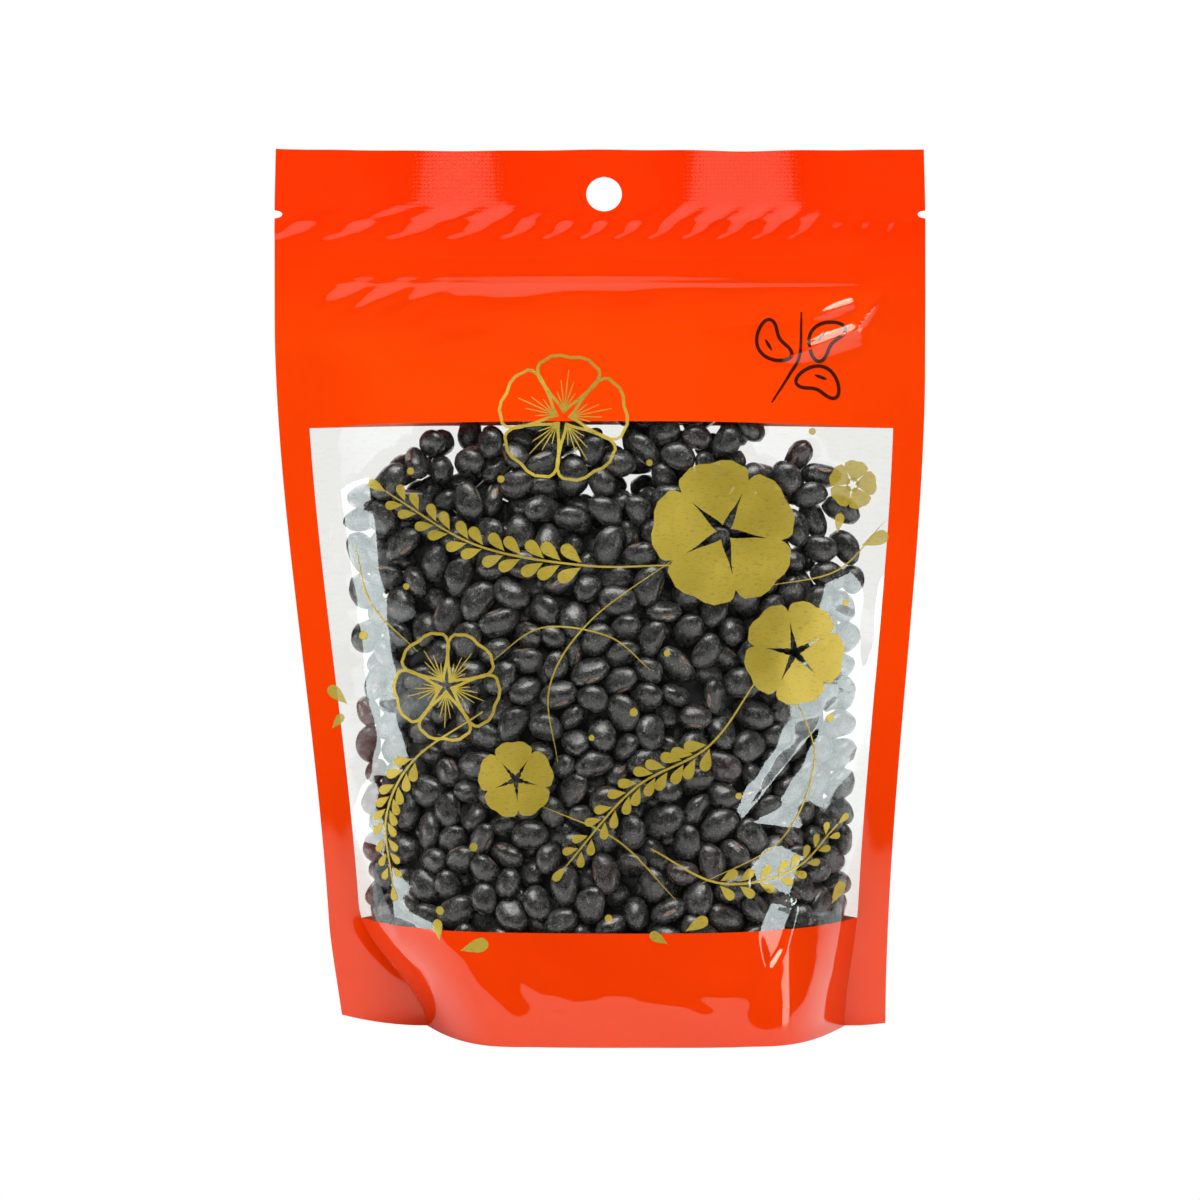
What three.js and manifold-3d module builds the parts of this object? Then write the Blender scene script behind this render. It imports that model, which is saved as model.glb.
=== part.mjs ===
// A filled stand-up zip pouch of roasted black beans, standing on its opened bottom gusset.
// Millimetres, +Z up. The front faces -Y, and the origin is at the middle of the footprint, on the table.
//
// pouch: the sealed film bag. Its two panels are welded flat down both sides and across the header, and bow
// apart between the side welds. The bow is deepest at the foot and dies out at the zip. Front and back have
// an opening where the clear window lets the contents show.
// beans: the contents, one heap that fills the bag from the gusset to its uneven top.
import * as THREE from "three";
import { mergeVertices } from "three/addons/utils/BufferGeometryUtils.js";
import Module from "manifold-3d";

// ---------------------------------------------------------------- driving dimensions
const pouchWidth = 160; // across the flat header
const pouchHeight = 216; // from the table to the top edge
const footDepth = 71.2; // front to back across the opened gusset

// Welds and film
const weldThickness = 0.8; // both films of a welded border
const filmWall = 1.2; // thickness of the bag's wall round the contents
const contentsGap = 0.3; // clearance between the wall and the contents
const sideWeld = 7.5; // width of the flat border down each side
const cornerFlat = { left: 21, right: 10 }; // how wide the flat border grows at each bottom corner
const cornerFlatHeight = 30; // where that growth ends

// How far the filled foot pulls each side edge in, and how high up the pull is felt
const edgePull = { left: 14.2, right: 9.8 };
const edgePullHeight = { left: 175, right: 165 };
const cornerTuck = { left: 2.3, right: 0 }; // a last bit of pull at the very corner
const cornerTuckHeight = 25;

// The bow of the panels
const bowFalloff = 1.15; // how the bow tapers towards the zip
const bowShape = { foot: 4.5, body: 2.3 }; // power of the cross-section: boxy at the foot, a lens above
const bowShapeHeight = 70; // where the foot's boxy section has turned into the lens

// Zip, header, hang hole and tear notches
const zip = { bottom: 181, top: 192.5, strip: 0.25, stripEdge: 0.6 };
const zipRib = { heights: [184, 188.4], rise: 0.75, half: 0.85 };
const headerWave = { size: 2.8, length: 70 }; // the header's slow ripple, front to back, at its top edge
const hangHole = { x: 1, z: 204.7, radius: 4.4, sides: 36 };
const tearNotch = { z: 199.5, deep: 2.1, high: 1, sides: 16 };

// The foot: a shallow arch of gusset inside a flat rim, and bottom corners that ride up a little
const gussetArch = { rise: 4.5, rimFront: 4, rimSide: 5, sides: 32, rings: 12 };
const cornerLift = { left: 2.7, right: 0.7 };

// The window, and the heap of beans behind it
const windowOpening = { bottom: 26.5, top: 147, bow: 1.5, steps: 8 };
const heapTop = 156;
const heapShoulder = { left: { drop: 24, power: 1.8 }, right: { drop: 29, power: 4 } };
const heapFloor = { middle: 6.2, corner: 16, power: 6 }; // it stands off the gusset, and more so at the sides
const heapEdge = 2.4; // half the thickness of the heap at its sides, one bean lying flat
const heapBumps = 1.5; // how deep the hollows between the beans are
const windowMargin = 1; // the opening stays this far inside the heap's outline

// Fineness of the meshes
const bellySteps = 24; // columns across the bowed part of a panel
const heapSteps = { across: 22, up: 22 };
const ribRows = [-1, -0.5, 0, 0.5, 1];
const rowHeights = [
  ...steps(0, cornerFlatHeight, 5),
  ...steps(cornerFlatHeight, zip.bottom - zip.stripEdge, 16),
  zip.bottom - zip.stripEdge,
  zip.bottom,
  ...zipRib.heights.flatMap((rib) => ribRows.map((k) => rib + k * zipRib.half)),
  zip.top - zip.stripEdge,
  ...steps(zip.top, pouchHeight, 3),
  pouchHeight,
];

// Evenly spaced values from a up to, but not including, b.
function steps(a, b, count) {
  return Array.from({ length: count }, (_, i) => a + ((b - a) * i) / count);
}

// ---------------------------------------------------------------- shape of the bag
// 0 below the start, 1 past the end, and smooth between them.
function ease(value, start, end) {
  const t = Math.min(1, Math.max(0, (value - start) / (end - start)));
  return t * t * (3 - 2 * t);
}

// Distance of a side edge from the middle plane at height z.
function edgeAt(side, z) {
  const pull = edgePull[side] * (1 - ease(z, 0, edgePullHeight[side]));
  const tuck = cornerTuck[side] * Math.max(0, 1 - z / cornerTuckHeight) ** 1.5;
  return pouchWidth / 2 - pull - tuck;
}

// Width of the flat border at height z.
function borderAt(side, z) {
  return sideWeld + (cornerFlat[side] - sideWeld) * (1 - ease(z, 0, cornerFlatHeight));
}

// The bowed part of the panels at height z: its middle and half width.
function bellyAt(z) {
  const left = -edgeAt("left", z) + borderAt("left", z);
  const right = edgeAt("right", z) - borderAt("right", z);
  return { middle: (left + right) / 2, half: (right - left) / 2 };
}

// The bow at height z: how deep it is in the middle, and the power of its cross-section.
function bowOf(z) {
  const rise = Math.max(0, 1 - (z / zip.bottom) ** 2);
  const deep = (footDepth / 2 - weldThickness / 2) * rise ** bowFalloff;
  const power = bowShape.body + (bowShape.foot - bowShape.body) * (1 - ease(z, 0, bowShapeHeight));
  return { deep, power };
}

// How far a panel bows out at height z. across runs from -1 to 1 over the bowed part.
function bowAt(across, z) {
  const { deep, power } = bowOf(z);
  return deep * (1 - Math.abs(across) ** power);
}

// The zip's strip and its two ribs stand proud of the film, and are crushed flat in the side welds.
function zipAt(across, z) {
  const inside = 1 - ease(Math.abs(across), 0.97, 1);
  const fadeIn = ease(z, zip.bottom - zip.stripEdge, zip.bottom);
  const fadeOut = ease(z, zip.top - zip.stripEdge, zip.top);
  const ribs = zipRib.heights.map((rib) => 1 - Math.min(1, Math.abs(z - rib) / zipRib.half) ** 2);
  return inside * (zip.strip * (fadeIn - fadeOut) + zipRib.rise * Math.max(...ribs));
}

// The header's ripple moves both films together.
function rippleAt(x, z) {
  const grow = Math.max(0, z - zip.top) / (pouchHeight - zip.top);
  const wave = Math.cos((2 * Math.PI * x) / headerWave.length);
  return headerWave.size * grow * wave * (1.5 - 0.5 * wave ** 2);
}

// Columns from the left edge to the right one: two over each flat border, and the rest over the belly,
// closer together towards its sides, where the panels turn in.
const columns = [
  { sign: -1, share: 1 },
  { sign: -1, share: 0.5 },
  ...crowdedShares(bellySteps).map((across) => ({ across })),
  { sign: 1, share: 0.5 },
  { sign: 1, share: 1 },
];

// Values from -1 to 1 that crowd towards both ends.
function crowdedShares(count) {
  return Array.from({ length: count + 1 }, (_, i) => Math.sin((i / count - 0.5) * Math.PI));
}

// A point of the bag. depth is -1 on the front film and 1 on the back one.
function bagPoint(column, z, depth) {
  const belly = bellyAt(z);
  let x = belly.middle + belly.half * (column.across ?? column.sign);
  let off = weldThickness / 2;
  let lift = 0;
  if (column.share) {
    const side = column.sign < 0 ? "left" : "right";
    x += column.sign * column.share * borderAt(side, z);
    lift = cornerLift[side] * column.share ** 2 * (1 - ease(z, 0, cornerFlatHeight));
  } else {
    off += bowAt(column.across, z) + zipAt(column.across, z);
  }
  return new THREE.Vector3(x, depth * off + rippleAt(x, z), z + lift);
}

// ---------------------------------------------------------------- shape of the heap
// Height of the heap's top and bottom lines. across runs from -1 to 1 over the heap.
function heapTopAt(across) {
  const shoulder = across < 0 ? heapShoulder.left : heapShoulder.right;
  return heapTop - shoulder.drop * Math.abs(across) ** shoulder.power;
}

function heapFloorAt(across) {
  return heapFloor.middle + (heapFloor.corner - heapFloor.middle) * Math.abs(across) ** heapFloor.power;
}

// Share of the belly's half width that the heap fills: it ends where a bean no longer fits between the films.
function heapReach(z) {
  const { deep, power } = bowOf(z);
  return (1 - (heapEdge + filmWall) / deep) ** (1 / power);
}

// Depth of the hollow at a point of the heap's surface, scattered but always the same.
function hollowAt(row, column, depth) {
  const value = Math.sin(row * 12.9898 + column * 78.233 + depth * 37.719) * 43758.5453;
  return heapBumps * (value - Math.floor(value));
}

// A point of the heap, or of the space that holds it, which is larger by grow on every side.
function heapPoint(row, column, depth, grow) {
  const across = crowdedShares(heapSteps.across)[column];
  const [low, high] = [heapFloorAt(across) - grow, heapTopAt(across) + grow];
  const z = low + ((high - low) * row) / heapSteps.up;
  const belly = bellyAt(z);
  const reach = heapReach(z);
  const x = belly.middle + across * (belly.half * reach + grow);
  const hollow = grow > 0 ? 0 : hollowAt(row, column, depth);
  const half = bowAt(across * reach, z) - filmWall + grow - Math.min(hollow, heapEdge / 2);
  return new THREE.Vector3(x, depth * half, z);
}

// ---------------------------------------------------------------- mesh helpers
// Two triangles for each cell of a grid of points. Seen from the side they face, rows run up and columns
// run right.
function gridTriangles(grid) {
  return grid.slice(1).flatMap((upper, r) =>
    upper.slice(1).flatMap((corner, c) => {
      const lower = grid[r];
      return [lower[c], lower[c + 1], corner, lower[c], corner, upper[c]];
    }),
  );
}

// A closed body between a front sheet of points (depth -1) and a back one (depth 1) of the same size.
// pointAt(row, column, depth) gives the points, rows from the bottom up and columns from left to right.
function bodyBetween(rowCount, columnCount, pointAt) {
  const rows = [...Array(rowCount).keys()];
  const cols = [...Array(columnCount).keys()];
  const both = [-1, 1];
  const [lastRow, lastCol] = [rowCount - 1, columnCount - 1];
  const faces = [
    rows.map((r) => cols.map((c) => pointAt(r, c, -1))), // front
    rows.map((r) => cols.map((c) => pointAt(r, lastCol - c, 1))), // back
    both.map((d) => cols.map((c) => pointAt(0, c, -d))), // bottom
    both.map((d) => cols.map((c) => pointAt(lastRow, c, d))), // top
    rows.map((r) => both.map((d) => pointAt(r, 0, -d))), // left
    rows.map((r) => both.map((d) => pointAt(r, lastCol, d))), // right
  ];
  return new THREE.BufferGeometry().setFromPoints(faces.flatMap(gridTriangles));
}

const wasm = await Module();
wasm.setup();

// The solid inside a closed geometry.
function solidOf(geometry) {
  geometry.deleteAttribute("normal");
  geometry.deleteAttribute("uv");
  const merged = mergeVertices(geometry, 1e-4);
  const vertProperties = merged.getAttribute("position").array;
  const triVerts = new Uint32Array(merged.index.array);
  return new wasm.Manifold(new wasm.Mesh({ numProp: 3, vertProperties, triVerts }));
}

function geometryOf(solid) {
  const mesh = solid.getMesh();
  const geometry = new THREE.BufferGeometry();
  geometry.setAttribute("position", new THREE.BufferAttribute(new Float32Array(mesh.vertProperties), 3));
  geometry.setIndex(new THREE.BufferAttribute(new Uint32Array(mesh.triVerts), 1));
  geometry.computeVertexNormals();
  return geometry;
}

// ---------------------------------------------------------------- cutting tools
// A straight drill from front to back, round or oval.
function drill(x, z, radiusX, radiusZ, sides) {
  return new THREE.CylinderGeometry(1, 1, footDepth, sides).scale(radiusX, 1, radiusZ).translate(x, 0, z);
}

// The hollow under the foot, between the rims.
function gussetTool() {
  const belly = bellyAt(0);
  const [radiusX, radiusY] = [belly.half - gussetArch.rimSide, footDepth / 2 - gussetArch.rimFront];
  const dome = new THREE.SphereGeometry(1, gussetArch.sides, gussetArch.rings);
  return dome.rotateX(Math.PI / 2).scale(radiusX, radiusY, gussetArch.rise).translate(belly.middle, 0, 0);
}

// A prism that runs from front to back through an outline of [x, z] points.
function prism(outline) {
  const shape = new THREE.Shape(outline.map(([x, z]) => new THREE.Vector2(x, z)));
  const length = 2 * footDepth;
  const geometry = new THREE.ExtrudeGeometry(shape, { depth: length, bevelEnabled: false });
  return geometry.translate(0, 0, -length / 2).rotateX(Math.PI / 2);
}

// The clear window between the side welds. Its top edge bows a little upwards.
function windowOutline() {
  const heights = [...steps(windowOpening.bottom, windowOpening.top, windowOpening.steps), windowOpening.top];
  const side = (sign) => heights.map((z) => [bellyAt(z).middle + sign * bellyAt(z).half, z]);
  const topHalf = bellyAt(windowOpening.top).half;
  const top = steps(1, -1, windowOpening.steps).slice(1);
  const topEdge = top.map((k) => [k * topHalf, windowOpening.top + windowOpening.bow * (1 - k * k)]);
  return [...side(1), ...topEdge, ...side(-1).reverse()];
}

// The heap seen from the front, a margin inside its outline.
function heapOutline() {
  const { up, across } = heapSteps;
  const inward = -windowMargin;
  const at = (row, column) => heapPoint(row, column, 0, inward).toArray();
  const rows = [...Array(up + 1).keys()];
  const cols = [...Array(across + 1).keys()].slice(1, -1);
  const points = [
    ...cols.map((c) => at(0, c)),
    ...rows.map((r) => at(r, across)),
    ...cols.map((c) => at(up, across - c)),
    ...rows.map((r) => at(up - r, 0)),
  ];
  return points.map(([x, , z]) => [x, z]);
}

// ---------------------------------------------------------------- the two pieces
const heapBody = (grow) =>
  bodyBetween(heapSteps.up + 1, heapSteps.across + 1, (r, c, depth) => heapPoint(r, c, depth, grow));

const bagBody = () =>
  bodyBetween(rowHeights.length, columns.length, (r, c, depth) => bagPoint(columns[c], rowHeights[r], depth));

function pouchGeometry() {
  const windows = solidOf(prism(windowOutline())).intersect(solidOf(prism(heapOutline())));
  const notch = (x) => drill(x, tearNotch.z, tearNotch.deep, tearNotch.high, tearNotch.sides);
  const cuts = [
    windows,
    solidOf(heapBody(contentsGap)),
    solidOf(gussetTool()),
    solidOf(drill(hangHole.x, hangHole.z, hangHole.radius, hangHole.radius, hangHole.sides)),
    solidOf(notch(-edgeAt("left", tearNotch.z))),
    solidOf(notch(edgeAt("right", tearNotch.z))),
  ];
  return geometryOf(cuts.reduce((solid, cut) => solid.subtract(cut), solidOf(bagBody())));
}

function node(name, geometry, material) {
  const mesh = new THREE.Mesh(geometry, material);
  mesh.name = name;
  return mesh;
}

const printedFilm = new THREE.MeshStandardMaterial({ color: 0xff3d05, roughness: 0.2, metalness: 0 });
const roastedSkin = new THREE.MeshStandardMaterial({ color: 0x222226, roughness: 0.45, metalness: 0 });

const part = new THREE.Group();
part.add(node("pouch", pouchGeometry(), printedFilm));
part.add(node("beans", geometryOf(solidOf(heapBody(0))), roastedSkin));

export default part;
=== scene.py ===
"""A filled stand-up pouch of roasted black beans.

Glossy printed film with a clear window front and back, a press-to-close zip, a sealed header with a
hang hole, a gusset foot, loose beans inside, and gold blossoms and ears of grain printed across the front.
Lengths are in millimetres until a mesh is made. The front faces -Y.
"""
import math

import bmesh
import bpy
import numpy as np
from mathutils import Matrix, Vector


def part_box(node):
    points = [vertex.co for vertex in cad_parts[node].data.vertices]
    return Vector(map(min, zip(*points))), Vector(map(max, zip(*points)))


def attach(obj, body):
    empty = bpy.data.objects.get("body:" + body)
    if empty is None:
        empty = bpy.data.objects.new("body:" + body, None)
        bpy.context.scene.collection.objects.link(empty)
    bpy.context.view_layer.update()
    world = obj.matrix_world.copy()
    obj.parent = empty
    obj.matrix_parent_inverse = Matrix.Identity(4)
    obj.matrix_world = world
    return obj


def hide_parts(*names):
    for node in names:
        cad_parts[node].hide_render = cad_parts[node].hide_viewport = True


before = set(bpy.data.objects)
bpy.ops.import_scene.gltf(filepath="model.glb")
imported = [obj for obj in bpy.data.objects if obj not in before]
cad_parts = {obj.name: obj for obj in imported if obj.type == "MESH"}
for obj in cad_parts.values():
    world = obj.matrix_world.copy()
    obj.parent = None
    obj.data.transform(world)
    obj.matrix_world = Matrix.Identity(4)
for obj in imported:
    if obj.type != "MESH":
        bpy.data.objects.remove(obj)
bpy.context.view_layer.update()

MM = 0.001
TURN = math.tau

# ---------------------------------------------------------------- sizes of the bag
pouch_low, pouch_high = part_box("pouch")
POUCH_WIDTH, FOOT_DEPTH, POUCH_HEIGHT = (pouch_high - pouch_low) / MM
SOLID_WELD = 0.8  # thickness of the welded borders in the solid model
WELD = 0.4  # thickness of the two films of a welded border
SIDE_WELD = 7.5
CORNER_FLAT = {"left": 21, "right": 10}
CORNER_FLAT_HEIGHT = 30
CORNER_LIFT = {"left": 2.7, "right": 0.7}
EDGE_PULL = {"left": 14.2, "right": 9.8}
EDGE_PULL_HEIGHT = {"left": 175, "right": 165}
CORNER_TUCK = {"left": 2.3, "right": 0}
CORNER_TUCK_HEIGHT = 25
BOW_FALLOFF = 1.15
BOW_POWER_FOOT, BOW_POWER_BODY, BOW_POWER_HEIGHT = 4.5, 2.3, 70

ZIP_BOTTOM, ZIP_TOP, ZIP_STRIP = 181, 192.5, 0.9
ZIP_RIBS, ZIP_RIB_RISE, ZIP_RIB_HALF = (182.6, 188.4), 0.045, 0.6
HEADER_WAVE, HEADER_WAVE_LENGTH, TOP_DIP = 3.6, 70, 1.5
HEADER_BEND = 198  # where the header's ripple starts
HOLE_X, HOLE_Z, HOLE_RADIUS = 1, 204.7, 4.4
NOTCH_Z, NOTCH_DEEP, NOTCH_HALF = 199.5, 1.9, 1.0

WINDOW_BOTTOM, WINDOW_TOP, WINDOW_BOW, WINDOW_BOW_FADE = 26.5, 147, 1.3, 12
GUSSET_RIM, GUSSET_RISE = 4, 4.2
FOOT_LEAN, FOOT_LEAN_HEIGHT = 3.6, 60  # how far the film draws in above the foot
SHOULDER_LEAN, CORNER_LEAN = 1.5, 4
ROLL_DEPTH = 9.7
# Where the front panel rolls over along its sides: the side, the slope, and the heights it spans
ROLLS = ((-1, 0.98, (46, 90, 132, 176)), (1, 0.74, (70, 92, 105, 120)))
CRUMPLE, CORNER_CRUMPLE = 0.2, 0.25  # of the foot, and low on the right

HEAP_TOP = 156
# How far the heap's top drops at its sides, and the power of its curve
HEAP_SHOULDER = {"left": (22, 2), "right": (27, 3.2)}
HEAP_EDGE = 3.2  # half the thickness of the bag where the heap ends at its sides


def ease(value, start, end):
    """0 below the start, 1 past the end, and smooth between them."""
    t = np.clip((value - start) / (end - start), 0, 1)
    return t * t * (3 - 2 * t)


def notch_depth(z):
    """How deep the tear notches cut into the side edges at height z."""
    return NOTCH_DEEP * np.sqrt(np.maximum(0, 1 - ((z - NOTCH_Z) / NOTCH_HALF) ** 2))


def side_edge(side, z):
    """Distance of a side edge from the middle plane at height z."""
    pull = EDGE_PULL[side] * (1 - ease(z, 0, EDGE_PULL_HEIGHT[side]))
    tuck = CORNER_TUCK[side] * np.maximum(0, 1 - z / CORNER_TUCK_HEIGHT) ** 1.5
    return POUCH_WIDTH / 2 - pull - tuck - notch_depth(z)


def flat_border(side, z):
    """Width of the welded border at height z."""
    return SIDE_WELD + (CORNER_FLAT[side] - SIDE_WELD) * (1 - ease(z, 0, CORNER_FLAT_HEIGHT))


def belly(z):
    """The bowed part of the panels at height z: its middle and half width."""
    notch = notch_depth(z)
    left = -side_edge("left", z) - notch + flat_border("left", z)
    right = side_edge("right", z) + notch - flat_border("right", z)
    return (left + right) / 2, (right - left) / 2


def bow_power(z):
    return BOW_POWER_BODY + (BOW_POWER_FOOT - BOW_POWER_BODY) * (1 - ease(z, 0, BOW_POWER_HEIGHT))


def belly_top(x):
    """Height at which the front and back films come together, below the zip."""
    return ZIP_BOTTOM - 5 - 6 * (1 - ease(x, -62, -20)) + 4.5 * ease(x, 0, 50)


def bow(across, z, top=ZIP_BOTTOM):
    """How far a filled panel bows out at height z. across runs from -1 to 1 over the belly."""
    rise = np.maximum(0, 1 - (z / top) ** 2)
    deep = (FOOT_DEPTH - SOLID_WELD) / 2 * rise**BOW_FALLOFF
    return deep * (1 - np.abs(across) ** bow_power(z))


def zip_relief(across, x, z):
    """The zip's strip and ribs, which are crushed flat in the side welds."""
    inside = 1 - ease(np.abs(across), 0.84, 1)
    start = ZIP_BOTTOM - 2.6 + 2 * ease(x, -45, 30)
    strip = (1 - 0.5 * ease(x, -25, 40)) * ease(z, start, ZIP_BOTTOM + 4.4)
    strip = strip - 0.5 * ease(z, ZIP_TOP - 4, ZIP_TOP + 4)
    ribs = sum(np.maximum(0, 1 - ((z - rib) / ZIP_RIB_HALF) ** 2) for rib in ZIP_RIBS)
    return inside * (ZIP_STRIP * strip + ZIP_RIB_RISE * ribs)


# ---------------------------------------------------------------- slack and folds of the film
CREASE_SHARPNESS = 0.985  # 1 would make the creases of crumpled film knife-sharp


def scattered(x, z, seed, wavelength, count, profile):
    """Waves of one profile in scattered directions, which add up to about unit size."""
    rng = np.random.default_rng(seed)
    total = 0
    for _ in range(count):
        heading, phase, stretch = rng.uniform(0, TURN), rng.uniform(0, TURN), rng.uniform(0.7, 1.5)
        run = x * math.cos(heading) + z * math.sin(heading)
        total = total + profile(run * TURN / (wavelength * stretch) + phase)
    return total / math.sqrt(count / 2)


def waves(x, z, seed, wavelength):
    """Smooth random ripple."""
    return scattered(x, z, seed, wavelength, 9, np.sin)


def zigzag(phase):
    """A wave with straight slopes and sharp crests."""
    return np.arcsin(CREASE_SHARPNESS * np.sin(phase)) / math.asin(CREASE_SHARPNESS)


def crumple(x, z, seed, wavelength):
    """Flat facets that meet in sharp creases."""
    return scattered(x, z, seed, wavelength, 3, zigzag)


def fold(x, z, start, end, height, width):
    """A sharp-crested fold. It is highest at its start and has died out at its end."""
    (x0, z0), (x1, z1) = start, end
    length = math.hypot(x1 - x0, z1 - z0)
    dx, dz = (x1 - x0) / length, (z1 - z0) / length
    along = (x - x0) * dx + (z - z0) * dz
    aside = (x - x0) * dz - (z - z0) * dx
    t = np.clip(along / length, 0, 1)
    beyond = along - t * length
    return height * (1 - t * t) * np.exp(-np.hypot(aside, beyond) / width)


# Swellings low on the front panel: middle, half length and half height, slant and rise.
BLISTERS = [
    ((-17, 17), (12, 6), -0.5, 0.4),
    ((29, 13.5), (10, 5), -0.25, 0.35),
    ((4, 11), (17, 5), -0.1, 0.25),
    ((-32, 0), (17, 26), 0.1, 3.6),
    ((46, 0), (12, 24), 0, 2.6),
]
# Folds of the front panel: start, end, height and width. Those that share a start are a star of creases.
FRONT_FOLDS = [
    ((60, 175), (-20, 166), 0.6, 4),
    ((64, 168), (-5, 158), 0.5, 5),
    ((34, 52), (60, 83), -1.5, 4),  # a star of creases low on the right
    ((34, 52), (62, 47), -1.2, 3.5),
    ((34, 52), (28, 30), 0.8, 4),
    ((34, 52), (20, 66), 0.6, 4),
    ((46, 32), (60, 28), 0.8, 3),
    ((-48.5, 22), (-55, 46), 1.0, 2.4),  # the crease at the left corner of the foot
    ((-49, 22), (-61, 4), 0.9, 2.6),
]
# Flat facets pressed into the front panel low on the right: corners, and their slopes along X and Z.
FACETS = [
    (((35.5, 50), (50.5, 48), (46, 32), (36, 37)), (-0.74, -0.09)),
    (((35, 34), (46.5, 31), (43, 22), (40, 18)), (-0.74, -0.13)),
]
FACET_DEPTH = 0.8
KINKS = [  # of both films, below the zip's right end
    ((62.5, 171), (43, 163), 2.3, 1.9),
    ((62.5, 171), (71, 183), 2.0, 1.6),
    ((62, 177.6), (51, 174), 1.3, 1.5),
]
BACK_FOLDS = [
    ((-58, 172), (-40, 160), 0.9, 2.6),
    ((-58, 172), (-71, 181), 0.7, 2.4),
    ((40, 40), (58, 62), -1.0, 4),
    ((40, 40), (60, 30), -0.9, 3.5),
    ((-44, 30), (-58, 52), 0.8, 3),
    ((-44, 30), (-30, 12), 0.7, 4),
    ((20, 176), (64, 160), 0.5, 5),
]


def slack(face, x, z, across):
    """How the film's own slack moves it off the plain bowed shape."""
    top = belly_top(x)
    free = (1 - np.abs(across) ** 8) * (1 - ease(z, top - 7, top))
    seed = 10 if face == "front" else 50
    folds = FRONT_FOLDS if face == "front" else BACK_FOLDS
    # The ripple is weaker down the left side and in the middle, where the beans press on it, and at the foot
    pressed = ease(z, 20, 40) * (1 - ease(z, 135, 150))
    taut = 1 - 0.8 * pressed * np.exp(-(((np.abs(across) - 0.92) / 0.22) ** 2)) * (x < 0)
    taut = taut - 0.4 * pressed * np.exp(-((across / 0.45) ** 2))
    taut = taut * (0.4 + 0.6 * ease(z, 10, 34))
    height = taut * (0.38 * waves(x, z, seed, 44) + 0.13 * waves(x, z, seed + 1, 19))
    height = height + pressed * 0.04 * waves(x, z, seed + 2, 8.5)
    low_right = np.exp(-(((x - 44) / 15) ** 2) - ((z - 44) / 22) ** 2)
    creased = CRUMPLE * (1 - ease(z, 18, 34)) + CORNER_CRUMPLE * low_right
    height = height + creased * crumple(x, z, seed + 3, 21)
    raised, sunk = 0, 0
    for start, end, rise, width in folds:
        shape = fold(x, z, start, end, rise, width)
        raised, sunk = np.maximum(raised, shape), np.minimum(sunk, shape)
    # Both panels draw in above the foot, and down the left they lie further back
    lean = FOOT_LEAN * ease(z, 4, FOOT_LEAN_HEIGHT) * np.maximum(0, 1 - (z / top) ** 2)
    shift = CORNER_LEAN * ease(-across, 0.35, 0.7) * ease(z, 34, 76) * (1 - ease(z, 98, 165))
    if face == "back":
        return free * (height + raised + sunk - lean + shift)
    # The front doesn't draw in at the left corner of the foot, and draws in more at its right shoulder
    corner = ease(-(x + 27) - 0.86 * (z + 4), -1.5, 1.5)
    lean = lean * (1 - corner * (1 - ease(z, 18, 40)))
    lean = lean + SHOULDER_LEAN * ease(across, 0.5, 0.85) * ease(z, 104, 128) * (1 - ease(z, 135, 165))
    loose = height + raised + sunk + blisters(x, z) - lean - shift
    return free * loose + side_roll(x, z) + drawn_folds(x, z)


def blisters(x, z):
    """Soft swellings of the front film low down, each with a slanting long axis."""
    total = 0
    for (cx, cz), (long, short), slant, rise in BLISTERS:
        c, s = math.cos(slant), math.sin(slant)
        along, aside = (x - cx) * c + (z - cz) * s, (z - cz) * c - (x - cx) * s
        total = total + rise * np.maximum(0, 1 - (along / long) ** 2 - (aside / short) ** 2) ** 1.5
    return total


def side_roll(x, z):
    """Along its sides the front panel rolls over more steeply, with a straight inner edge."""
    middle, half = belly(z)
    plain = bow(0, z) * bow_power(z) / half * (1 - 11 / half) ** (bow_power(z) - 1)
    total = 0
    for sign, slope, (start, full, fade, end) in ROLLS:
        inward = half + sign * (middle - x)
        place = ease(z, start, full) * (1 - ease(z, fade, end)) * (1 - ease(inward, 18, 45))
        total = total + ROLL_DEPTH * ease(inward, 3, 17.5) * np.maximum(0, slope - plain) * place
    return total


def drawn_folds(x, z):
    """Slanting folds where the left of the panel is drawn together below the zip."""
    place = np.exp(-(((x + 54) / 15) ** 2) - ((z - 178.5) / 4) ** 2)
    return 0.16 * place * (1 + np.sin((0.53 * x - 0.85 * (z - 179)) * TURN / 5.4))


def puckers(x, z):
    """Short slanting puckers where the sealed header meets the loose film over the zip."""
    band = ease(z, 192.8, 195) * (1 - ease(z, 198.5, 202))
    run = 0.77 * (x / 9.5 + 0.0003 * x * x) * 9.5 - 0.64 * (z - 197)
    return band * 0.31 * (1 - 0.6 * ease(x, 44, 58)) * np.sin(run * TURN / 7.3 + 1.1 * np.sin(x / 13))


def inside_corners(x, z, corners):
    """1 inside a convex outline given clockwise, 0 outside it."""
    share = 1
    for (x0, z0), (x1, z1) in zip(corners, corners[1:] + corners[:1]):
        inward = ((x - x0) * (z1 - z0) - (z - z0) * (x1 - x0)) / math.hypot(x1 - x0, z1 - z0)
        share = np.minimum(share, ease(inward, -0.7, 0.7))
    return share


def loose_offset(face, x, z):
    middle, half = belly(z)
    across = np.clip((x - middle) / half, -1, 1)
    return WELD / 2 + bow(across, z, belly_top(x)) + zip_relief(across, x, z) + slack(face, x, z, across)


def film_offset(face, x, z):
    """Distance of a panel's film from the middle plane."""
    offset = loose_offset(face, x, z)
    for corners, (slope_x, slope_z) in FACETS if face == "front" else ():
        x0, z0 = np.mean(corners, axis=0)
        flat = loose_offset(face, x0, z0) - FACET_DEPTH + slope_x * (x - x0) + slope_z * (z - z0)
        offset = offset - inside_corners(x, z, corners) * np.maximum(0, offset - flat)
    return np.maximum(offset, WELD / 2)


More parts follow.
